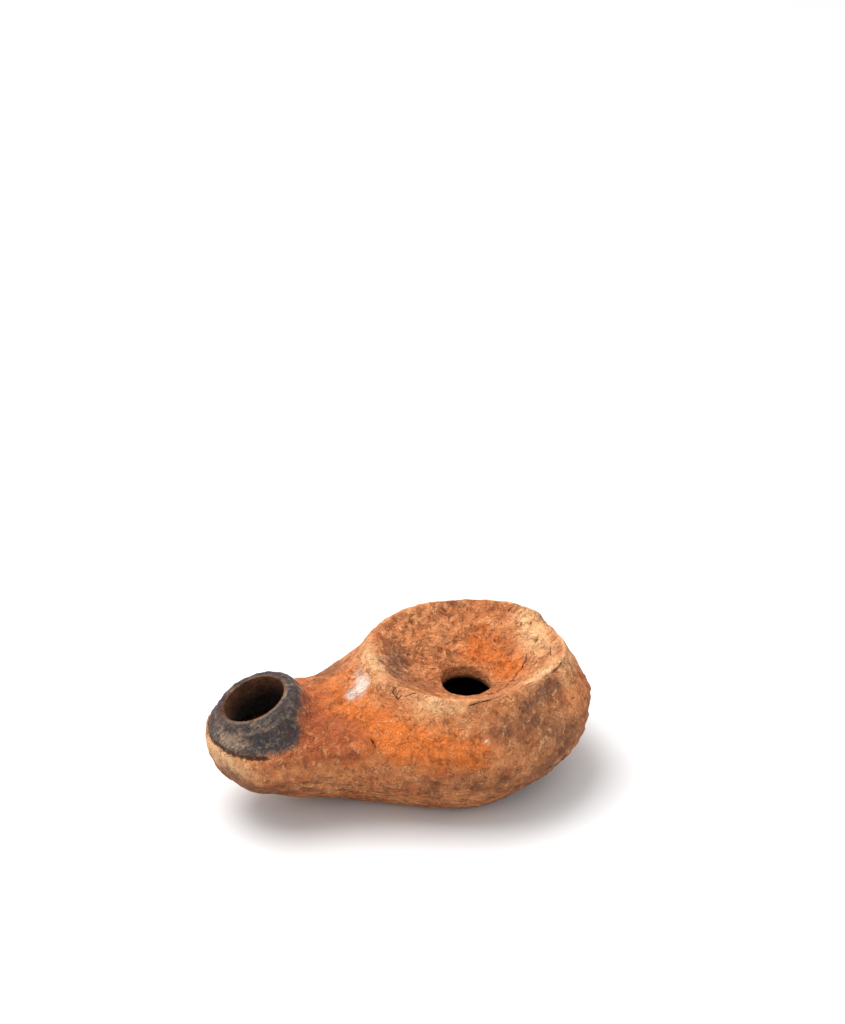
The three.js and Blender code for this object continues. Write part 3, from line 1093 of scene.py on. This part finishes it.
def grid_faces(rows: int, around: int) -> Array:
    """Corner numbers of a grid's quads, closed both ways, wound so that they face out of the clay."""
    row, column = np.meshgrid(np.arange(rows), np.arange(around), indexing="ij")
    next_row, next_column = (row + 1) % rows, (column + 1) % around
    corners = [(row, column), (row, next_column), (next_row, next_column), (next_row, column)]
    return np.stack([r * around + c for r, c in corners], -1).reshape(-1, 4)


def make_object(name: str, points: Array, faces: Array) -> bpy.types.Object:
    """A mesh object at the origin from points in millimetres and quads.

    Args:
        name: Name of the object and its mesh.
        points: Vertices, shape (count, 3).
        faces: Corner numbers, shape (count, 4).

    Returns:
        The object, linked to the scene and smooth shaded.
    """
    mesh = bpy.data.meshes.new(name)
    mesh.vertices.add(len(points))
    mesh.vertices.foreach_set("co", (points * METRES).astype(np.float32).ravel())
    mesh.loops.add(faces.size)
    mesh.loops.foreach_set("vertex_index", faces.astype(np.int32).ravel())
    mesh.polygons.add(len(faces))
    mesh.polygons.foreach_set("loop_start", np.arange(0, faces.size, 4, dtype=np.int32))
    mesh.polygons.foreach_set("use_smooth", np.ones(len(faces), dtype=bool))
    mesh.update(calc_edges=True)
    mesh.validate()
    made = bpy.data.objects.new(name, mesh)
    bpy.context.collection.objects.link(made)
    return made


def linear(red: int, green: int, blue: int) -> tuple[float, float, float, float]:
    """A colour of 0 to 255 steps as the shader's linear red, green, blue and alpha."""
    steps = (channel / 255.0 for channel in (red, green, blue))
    return (*(c / 12.92 if c <= 0.04045 else ((c + 0.055) / 1.055) ** 2.4 for c in steps), 1.0)


class Nodes:
    """Short names for adding and linking the nodes of one node tree."""

    def __init__(self, tree: Tree) -> None:
        """Remember the tree."""
        self.tree = tree

    def link(self, value: Socket, node: Node, name: str) -> None:
        """Join an output to a node's input."""
        self.tree.links.new(value, node.inputs[name])

    def add(self, kind: str, inputs: dict | None = None, **settings: object) -> Node:
        """A new node with its settings, and with its inputs set or linked.

        Args:
            kind: Blender's name of the node's type.
            inputs: Values or output sockets by the input's name or number.
            settings: Values of the node's own properties.

        Returns:
            The node.
        """
        node = self.tree.nodes.new(kind)
        for name, value in settings.items():
            setattr(node, name, value)
        for name, value in (inputs or {}).items():
            if isinstance(value, Socket):
                self.tree.links.new(value, node.inputs[name])
            else:
                node.inputs[name].default_value = value
        return node

    def math(self, operation: str, a: object, b: object = 0.0) -> Socket:
        """Output of a Math node on two values."""
        return self.add("ShaderNodeMath", {0: a, 1: b}, operation=operation).outputs[0]

    def times(self, a: object, b: object) -> Socket:
        """Output of a Math node that multiplies two values."""
        return self.math("MULTIPLY", a, b)

    def vector(self, operation: str, a: object, b: object) -> Socket:
        """Output of a Vector Math node on two vectors, or on a vector and a scale."""
        inputs = {0: a, "Scale" if operation == "SCALE" else 1: b}
        return self.add("ShaderNodeVectorMath", inputs, operation=operation).outputs[0]

    def ramp(
        self, value: object, low: object, high: object, to_low: object = 0.0, to_high: object = 1.0
    ) -> Socket:
        """Output of a smooth, clamped Map Range node.

        Args:
            value: What is mapped.
            low: Value that becomes to_low.
            high: Value that becomes to_high.
            to_low: Result at the low end.
            to_high: Result at the high end.

        Returns:
            The mapped value's socket.
        """
        inputs = {"Value": value, "From Min": low, "From Max": high, "To Min": to_low, "To Max": to_high}
        return self.add("ShaderNodeMapRange", inputs, interpolation_type="SMOOTHSTEP").outputs["Result"]

    def mix(self, share: object, a: object, b: object, blend: str = "MIX") -> Socket:
        """Colour output of a Mix node.

        Args:
            share: Factor, a value or a socket.
            a: First colour or socket.
            b: Second colour or socket.
            blend: Blender's name of the way they mix.

        Returns:
            The mixed colour's socket.
        """
        node = self.add("ShaderNodeMix", data_type="RGBA", blend_type=blend)
        for name, value in (("Factor_Float", share), ("A_Color", a), ("B_Color", b)):
            socket = next(s for s in node.inputs if s.identifier == name)
            if isinstance(value, Socket):
                self.tree.links.new(value, socket)
            else:
                socket.default_value = value
        return next(s for s in node.outputs if s.identifier == "Result_Color")

    def noise(
        self, vector: object, scale: object, detail: float = 2.0, roughness: float = 0.5,
        distortion: float = 0.0,
    ) -> Socket:
        """Value output of a Noise Texture node.

        Args:
            vector: Socket of the place.
            scale: Lattice steps in a metre.
            detail: Layers of noise.
            roughness: Strength of each layer as a share of the one before.
            distortion: How much the noise is warped by itself.

        Returns:
            The value's socket.
        """
        inputs = {"Vector": vector, "Scale": scale, "Detail": detail, "Roughness": roughness}
        return self.add("ShaderNodeTexNoise", inputs | {"Distortion": distortion}).outputs[0]

    def group(self, group: Tree, inputs: dict) -> Node:
        """A placed node group with its inputs set or linked."""
        return self.add("ShaderNodeGroup", inputs, node_tree=group)


VECTOR, FLOAT = "NodeSocketVector", "NodeSocketFloat"


def new_group(
    name: str, inputs: Sequence[tuple[str, str, object]], outputs: Sequence[str]
) -> tuple[Tree, Nodes, Node, Node]:
    """An empty shader node group with its sockets.

    Args:
        name: The group's name.
        inputs: Name, socket type and first value of each input.
        outputs: Name of each output, which is a number.

    Returns:
        The group, its node helper, and its input and output nodes.
    """
    group = bpy.data.node_groups.new(name, "ShaderNodeTree")
    for label, kind, value in inputs:
        socket = group.interface.new_socket(name=label, in_out="INPUT", socket_type=kind)
        if value is not None:
            socket.default_value = value
    for label in outputs:
        group.interface.new_socket(name=label, in_out="OUTPUT", socket_type=FLOAT)
    nodes = Nodes(group)
    return group, nodes, nodes.add("NodeGroupInput"), nodes.add("NodeGroupOutput")


def ragged_mask_group() -> Tree:
    """Group that turns a soft mask into one with a ragged edge, by adding noise and a threshold.

    Returns:
        The group, which is 0 wherever the soft mask is 0.
    """
    group, nodes, source, result = new_group(
        "ragged_mask",
        (("Vector", VECTOR, None), ("Mask", FLOAT, 0.0), ("Scale", FLOAT, 300.0),
         ("Raggedness", FLOAT, 0.5), ("Low", FLOAT, 0.3), ("High", FLOAT, 0.7)),
        ("Mask",),
    )
    mask = source.outputs["Mask"]
    noise = nodes.noise(source.outputs["Vector"], source.outputs["Scale"], 4.0, 0.62)
    swing = nodes.times(nodes.math("SUBTRACT", noise, 0.5), source.outputs["Raggedness"])
    edge = nodes.ramp(nodes.math("ADD", mask, swing), source.outputs["Low"], source.outputs["High"])
    nodes.link(nodes.times(edge, nodes.ramp(mask, 0.01, 0.12)), result, "Mask")
    return group


def dragged_clay_group() -> Tree:
    """Group for the dragged, wrinkled clay.

    Its height is coarse noise, folds drawn out along Z and fine grain, less the creases where the
    folds' noise crosses its middle, and less short drag marks.

    Returns:
        The group, which puts out the height, the painted shade of its creases and hollows, the painted
        highlight of its tops, and the drag marks.
    """
    group, nodes, source, result = new_group(
        "dragged_clay",
        (("Vector", VECTOR, None), ("Marks", FLOAT, 0.5)),
        ("Height", "Shaded Hollows", "Lit Tops", "Marks"),
    )
    place = source.outputs["Vector"]
    warp = nodes.add("ShaderNodeTexNoise", {"Vector": place, "Scale": 260.0, "Detail": 2.0}).outputs["Color"]
    shift = nodes.vector("SCALE", nodes.vector("SUBTRACT", warp, (0.5, 0.5, 0.5)), 0.0042)
    moved = nodes.vector("ADD", place, shift)
    coarse = nodes.noise(moved, 430.0, 4.0, 0.62)
    folds = nodes.noise(nodes.vector("MULTIPLY", moved, (1.0, 1.0, 0.42)), 1050.0, 3.0, 0.6, 0.35)
    grain = nodes.noise(place, 3400.0, 2.0, 0.6)
    patchy = nodes.ramp(nodes.noise(place, 330.0, 3.0), 0.44, 0.66, 0.1, 1.0)
    gap = nodes.math("ABSOLUTE", nodes.math("SUBTRACT", folds, 0.5))
    crease = nodes.times(nodes.ramp(gap, 0.036, 0.004), patchy)
    height = nodes.math("ADD", coarse, nodes.times(folds, 0.5))
    height = nodes.math("ADD", height, nodes.times(grain, 0.16))
    # painted shade: the creases and the lowest parts of the height darken the colour
    shaded_hollows = nodes.math("MAXIMUM", nodes.times(crease, 0.75), nodes.ramp(height, 0.78, 0.56))
    # painted highlight: the highest parts of the height lighten the colour
    lit_tops = nodes.ramp(height, 0.84, 1.06)
    drawn = nodes.vector("MULTIPLY", moved, (1.0, 1.0, 0.3))
    marks = nodes.times(nodes.ramp(nodes.noise(drawn, 1700.0, 1.0), 0.66, 0.74), source.outputs["Marks"])
    height = nodes.math("SUBTRACT", height, nodes.times(crease, 0.16))
    height = nodes.math("SUBTRACT", height, nodes.times(marks, 0.2))
    for name, socket in (("Height", height), ("Shaded Hollows", shaded_hollows), ("Lit Tops", lit_tops), ("Marks", marks)):
        nodes.link(socket, result, name)
    return group


def long_grain_group() -> Tree:
    """Group for dark streaks that run along the lamp, from noise drawn out along X."""
    group, nodes, source, result = new_group(
        "long_grain", (("Vector", VECTOR, None), ("Amount", FLOAT, 1.0)), ("Streaks",)
    )
    drawn = nodes.vector("MULTIPLY", source.outputs["Vector"], (0.16, 0.3, 1.0))
    streaks = nodes.ramp(nodes.noise(drawn, 1500.0, 3.0, 0.6, 0.3), 0.55, 0.66)
    nodes.link(nodes.times(streaks, source.outputs["Amount"]), result, "Streaks")
    return group


@dataclass(frozen=True)
class Layer:
    """A colour laid over the clay where a mask, made ragged by noise, is strong."""

    tint: Tint
    colour: str
    scale: float  # of the noise
    raggedness: float
    low: float  # the ragged mask covers nothing here
    high: float  # and covers fully here
    strength: float = 1.0


# What lies on the bare clay under the light flecks, from below, and what lies over them
UNDER_LAYERS = (
    Layer(Tint.CREAM, "cream", 150.0, 1.6, 0.15, 1.1),
    Layer(Tint.BROWN, "brown", 140.0, 1.5, 0.15, 1.2),
    Layer(Tint.ORANGE, "orange", 150.0, 1.6, 0.1, 1.0),
)
SCORCH_LAYER = Layer(Tint.SCORCH, "scorch", 220.0, 1.3, 0.35, 1.35)
LIME_LAYER = Layer(Tint.LIME, "lime", 420.0, 1.9, 0.3, 1.25, 0.9)
SOOT_LAYER = Layer(Tint.SOOT, "soot", 520.0, 0.9, 0.12, 0.95)
TOP_LAYERS = (
    Layer(Tint.ASH, "ash", 1500.0, 1.4, 0.2, 1.1, 0.8),
    # painted highlight along the rim's crest
    Layer(Tint.CREST_HIGHLIGHT, "fleck_and_highlight", 400.0, 1.0, 0.3, 0.9, 0.5),
    Layer(Tint.WORN, "ash", 500.0, 1.2, 0.3, 1.0, 0.7),
)


@dataclass(frozen=True)
class FiredClay:
    """Fired clay with its stains, soot, lime crust, cracks and grain, and with painted highlights and shade.
    """

    name: str = "fired_clay_worn"
    tan: Colour = (218, 140, 86)
    tan_dark: Colour = (190, 108, 60)
    orange: Colour = (218, 114, 44)
    cream: Colour = (246, 190, 136)
    brown: Colour = (136, 86, 58)
    lime: Colour = (232, 214, 200)
    soot: Colour = (52, 52, 57)
    soot_brown: Colour = (112, 94, 76)
    scorch: Colour = (172, 88, 46)
    crevice: Colour = (96, 52, 32)
    deep: Colour = (62, 36, 24)
    # light flecks in the clay, and the colour of the painted highlights on the crest and the wrinkles' tops
    fleck_and_highlight: Colour = (248, 196, 142)
    ash: Colour = (160, 136, 112)
    inner: Colour = (24, 14, 9)
    roughness: float = 0.86
    soot_roughness: float = 0.62
    specular: float = 0.3
    bump_distance: float = 0.0030  # metres
    bump_strength: float = 0.9
    crack_width: tuple[float, float] = (0.2, 0.06)  # side distances where a crack starts and is darkest

    def colour(self, name: str) -> tuple[float, float, float, float]:
        """One of the finish's colours as the shader takes it."""
        return linear(*getattr(self, name))

    def mask(self, nodes: Nodes, tint: Tint) -> Socket:
        """Output of the Attribute node that reads one mask."""
        return nodes.add("ShaderNodeAttribute", attribute_name=tint.value).outputs["Fac"]

    def cover(self, nodes: Nodes, group: Tree, place: Socket, layer: Layer) -> Socket:
        """How much of a layer lies at each place.

        Args:
            nodes: The material's nodes.
            group: The group that makes a mask's edge ragged.
            place: Object coordinates.
            layer: The layer.

        Returns:
            The ragged mask's socket, times the layer's strength.
        """
        inputs = {"Vector": place, "Mask": self.mask(nodes, layer.tint), "Scale": layer.scale,
                  "Raggedness": layer.raggedness, "Low": layer.low, "High": layer.high}
        ragged = nodes.group(group, inputs).outputs["Mask"]
        return ragged if layer.strength == 1.0 else nodes.times(ragged, layer.strength)

    def bare_clay(self, nodes: Nodes, group: Tree, place: Socket) -> Socket:
        """Colour of the clay with its stains, under the soot.

        Args:
            nodes: The material's nodes.
            group: The group that makes a mask's edge ragged.
            place: Object coordinates.

        Returns:
            The colour's socket.
        """
        mottle = nodes.ramp(nodes.noise(place, 130.0, 4.0, 0.6), 0.35, 0.68)
        colour = nodes.mix(mottle, self.colour("tan"), self.colour("tan_dark"))
        for layer in UNDER_LAYERS:
            colour = nodes.mix(self.cover(nodes, group, place, layer), colour, self.colour(layer.colour))
        fleck = nodes.ramp(nodes.noise(place, 1500.0, 2.0, 0.7), 0.62, 0.72, 0.0, 0.55)
        colour = nodes.mix(fleck, colour, self.colour("fleck_and_highlight"))
        return nodes.mix(self.cover(nodes, group, place, SCORCH_LAYER), colour, self.colour("scorch"))

    def cracks(self, nodes: Nodes, place: Socket) -> Socket:
        """Share of each place that a crack takes: a thin line that wanders and breaks off by noise."""
        wander = nodes.times(nodes.math("SUBTRACT", nodes.noise(place, 1400.0, 3.0), 0.5), 0.5)
        gap = nodes.math("ABSOLUTE", nodes.math("ADD", self.mask(nodes, Tint.CRACK_SIDE), wander))
        near = nodes.ramp(self.mask(nodes, Tint.CRACK_NEAR), 0.2, 0.7)
        broken = nodes.ramp(nodes.noise(place, 900.0), 0.34, 0.5, 0.45, 1.0)
        return nodes.times(nodes.times(nodes.ramp(gap, *self.crack_width), near), broken)

    def build(self, groups: dict[str, Tree]) -> bpy.types.Material:
        """The material: clay colours laid over each other from below, then painted highlights and
        shade, grain, marks and cracks, with fine bump.

        Args:
            groups: The shared node groups by name.

        Returns:
            The material.
        """
        material = bpy.data.materials.new(self.name)
        material.use_nodes = True
        nodes = Nodes(material.node_tree)
        shader = material.node_tree.nodes["Principled BSDF"]
        place = nodes.add("ShaderNodeTexCoord").outputs["Object"]
        ragged = groups["ragged_mask"]
        clay = nodes.group(groups["dragged_clay"], {"Vector": place, "Marks": self.mask(nodes, Tint.DASH)})
        grain = nodes.group(groups["long_grain"], {"Vector": place, "Amount": self.mask(nodes, Tint.STREAK)})
        streaks = grain.outputs["Streaks"]
        lime = self.cover(nodes, ragged, place, LIME_LAYER)
        soot = self.cover(nodes, ragged, place, SOOT_LAYER)
        crack = self.cracks(nodes, place)
        sooty = nodes.mix(nodes.ramp(nodes.noise(place, 760.0, 5.0, 0.72), 0.48, 0.68),
                          self.colour("soot"), self.colour("soot_brown"))
        colour = nodes.mix(lime, self.bare_clay(nodes, ragged, place), self.colour("lime"))
        colour = nodes.mix(soot, colour, sooty)
        for layer in TOP_LAYERS:
            colour = nodes.mix(self.cover(nodes, ragged, place, layer), colour, self.colour(layer.colour))
        # painted highlight on the wrinkles' tops, weaker on soot and on orange
        lit_tops = nodes.times(clay.outputs["Lit Tops"], nodes.ramp(soot, 0.1, 0.9, 0.42, 0.2))
        lit_tops = nodes.times(lit_tops, nodes.ramp(self.mask(nodes, Tint.ORANGE), 0.1, 0.9, 1.0, 0.45))
        for share, name in (
            (lit_tops, "fleck_and_highlight"),
            # painted shade in the wrinkles' creases and hollows
            (nodes.times(clay.outputs["Shaded Hollows"], 0.78), "crevice"),
            (nodes.times(streaks, 0.62), "crevice"),
            (nodes.times(clay.outputs["Marks"], 0.75), "deep"),
            # painted shade in the relief's low places
            (nodes.times(self.mask(nodes, Tint.LOW_SHADE), 0.6), "crevice"),
            # dark cracks, and the painted shadow along the dab's crease
            (nodes.times(crack, 0.9), "deep"),
            # soot in the wick hole, and painted shade deeper in and in the filling hole
            (self.mask(nodes, Tint.HOLLOW), "inner"),
        ):
            colour = nodes.mix(share, colour, self.colour(name))
        height = nodes.math("SUBTRACT", clay.outputs["Height"], nodes.times(crack, 0.6))
        height = nodes.math("SUBTRACT", height, nodes.times(streaks, 0.25))
        height = nodes.math("ADD", height, nodes.times(lime, 0.15))
        bump = nodes.add("ShaderNodeBump", {"Height": height, "Strength": self.bump_strength,
                                            "Distance": self.bump_distance})
        nodes.link(colour, shader, "Base Color")
        nodes.link(bump.outputs["Normal"], shader, "Normal")
        nodes.link(nodes.ramp(soot, 0.0, 1.0, self.roughness, self.soot_roughness), shader, "Roughness")
        shader.inputs["Specular IOR Level"].default_value = self.specular
        return material


@dataclass
class Lamp:
    """The whole lamp: its grid, the relief on its outer rows and its finish."""

    form: ClayForm = ClayForm()
    finish: FiredClay = FiredClay()

    def build(self) -> bpy.types.Object:
        """Work out the grid, raise the relief and dress the mesh.

        Returns:
            The lamp's object, declared to the frame.
        """
        rows, seen = LampGrid(self.form).build()
        outer, hidden = rows[:seen].reshape(-1, 3), rows[seen:].reshape(-1, 3)
        _, gradient = slopes(self.form.dished, outer)
        normals = gradient / np.linalg.norm(gradient, axis=1)[:, None]
        relief = ClayRelief(self.form)
        heights = relief.heights(outer, normals)
        masks = relief.masks(outer, normals, heights)
        raised = outer + heights[:, None] * normals
        raised[:, 2] = np.maximum(raised[:, 2], 0.0)
        lamp = make_object("lamp_clay", np.concatenate([raised, hidden]), grid_faces(*rows.shape[:2]))
        inside = {Tint.HOLLOW: self.hollow_shade(hidden), Tint.CRACK_SIDE: np.full(len(hidden), 2.0)}
        for tint in Tint:
            values = np.concatenate([masks[tint], inside.get(tint, np.zeros(len(hidden)))])
            attribute = lamp.data.attributes.new(tint.value, "FLOAT", "POINT")
            attribute.data.foreach_set("value", values.astype(np.float32))
        made = (ragged_mask_group(), dragged_clay_group(), long_grain_group())
        groups = {group.name: group for group in made}
        lamp.data.materials.append(self.finish.build(groups))
        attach(lamp, "root")
        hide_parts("lamp")
        return lamp

    def hollow_shade(self, points: Array) -> Array:
        """How dark the inside is: sooty in the wick hole, and unlit further in.

        Args:
            points: Places on the holes' walls and in the hollow.

        Returns:
            Shares of the dark colour.
        """
        depth, distance = ClayRelief(self.form).collar_place(points)
        in_wick = smooth_step(9.5, 8.5, distance) * (0.8 + 0.2 * smooth_step(-1.5, -7.0, depth))
        in_fill = smooth_step(22.6, 20.8, points[:, 2]) * smooth_step(-40.0, -36.0, points[:, 0])
        return np.clip(np.maximum(in_wick, in_fill), 0.0, 1.0)


@dataclass
class Studio:
    """White floor, soft light from the upper left and the camera at the photograph's angle."""

    world_strength: float = 1.02
    floor_half: float = 2000.0  # millimetres, as the lamp's sizes
    floor_shade: float = 0.68
    light_place: Point = (-0.27, 0.18, 0.88)  # metres, as the next lengths
    light_aim: Point = (0.0, 0.0, 0.02)
    light_size: float = 0.66
    light_energy: float = 9.6
    azimuth: float = -21.0  # degrees from the lamp's near side towards its tip
    elevation: float = 34.0
    distance: float = 0.650
    image_width: float = 845.0  # pixels, as the next lengths
    image_height: float = 1024.0
    focal: float = 2470.0
    foot_place: tuple[float, float] = (466.5, 761.1)  # where the lamp's origin lies in the picture

    def build(self) -> None:
        """Set the world, and add the floor, the light and the camera."""
        scene = bpy.context.scene
        scene.view_settings.view_transform = "Standard"
        scene.world = bpy.data.worlds.new("studio")
        scene.world.use_nodes = True
        background = scene.world.node_tree.nodes["Background"]
        background.inputs["Color"].default_value = (1.0, 1.0, 1.0, 1.0)
        background.inputs["Strength"].default_value = self.world_strength
        self.add_floor()
        light = bpy.data.lights.new("window", "AREA")
        light.energy, light.size = self.light_energy, self.light_size
        window = bpy.data.objects.new("window", light)
        window.location = Vector(self.light_place)
        way = Vector(self.light_aim) - window.location
        window.rotation_euler = way.to_track_quat("-Z", "Y").to_euler()
        scene.collection.objects.link(window)
        self.add_camera()

    def add_floor(self) -> None:
        """Plain pale floor under the lamp."""
        half = self.floor_half
        points = np.array([[-half, -half, 0.0], [half, -half, 0.0], [half, half, 0.0], [-half, half, 0.0]])
        floor = make_object("floor", points, np.array([[0, 1, 2, 3]]))
        white = bpy.data.materials.new("white_floor")
        white.use_nodes = True
        shader = white.node_tree.nodes["Principled BSDF"]
        shader.inputs["Base Color"].default_value = (*[self.floor_shade] * 3, 1.0)
        shader.inputs["Roughness"].default_value = 1.0
        floor.data.materials.append(white)

    def add_camera(self) -> None:
        """Camera turned off the lamp's foot, so that the foot stands off the picture's middle.

        The turn is a yaw and a pitch whose tangents are the foot's offsets from the middle over the
        focal length, both in pixels.
        """
        azimuth, elevation = math.radians(self.azimuth), math.radians(self.elevation)
        level = math.cos(elevation)
        back = Vector((math.sin(azimuth) * level, -math.cos(azimuth) * level, math.sin(elevation)))
        right = Vector((math.cos(azimuth), math.sin(azimuth), 0.0))
        across = self.foot_place[0] - self.image_width / 2.0
        down = self.foot_place[1] - self.image_height / 2.0
        data = bpy.data.cameras.new("camera")
        data.sensor_width = 36.0
        data.lens = self.focal / self.image_height * data.sensor_width
        camera = bpy.data.objects.new("camera", data)
        bpy.context.collection.objects.link(camera)
        bpy.context.scene.camera = camera
        towards = Matrix((right, back.cross(right), back)).transposed()
        yaw = Matrix.Rotation(math.atan2(across, math.hypot(self.focal, down)), 3, "Y")
        pitch = Matrix.Rotation(math.atan2(down, self.focal), 3, "X")
        turn = (towards @ yaw @ pitch).to_4x4()
        camera.matrix_world = Matrix.Translation(back * self.distance) @ turn


def main() -> None:
    """Build the lamp and its stage in order."""
    logging.basicConfig(level=logging.INFO)
    lamp = Lamp().build()
    LOG.info("%s has %s faces", lamp.name, len(lamp.data.polygons))
    Studio().build()
    LOG.info("the studio is set")


if __name__ == "__main__":
    main()
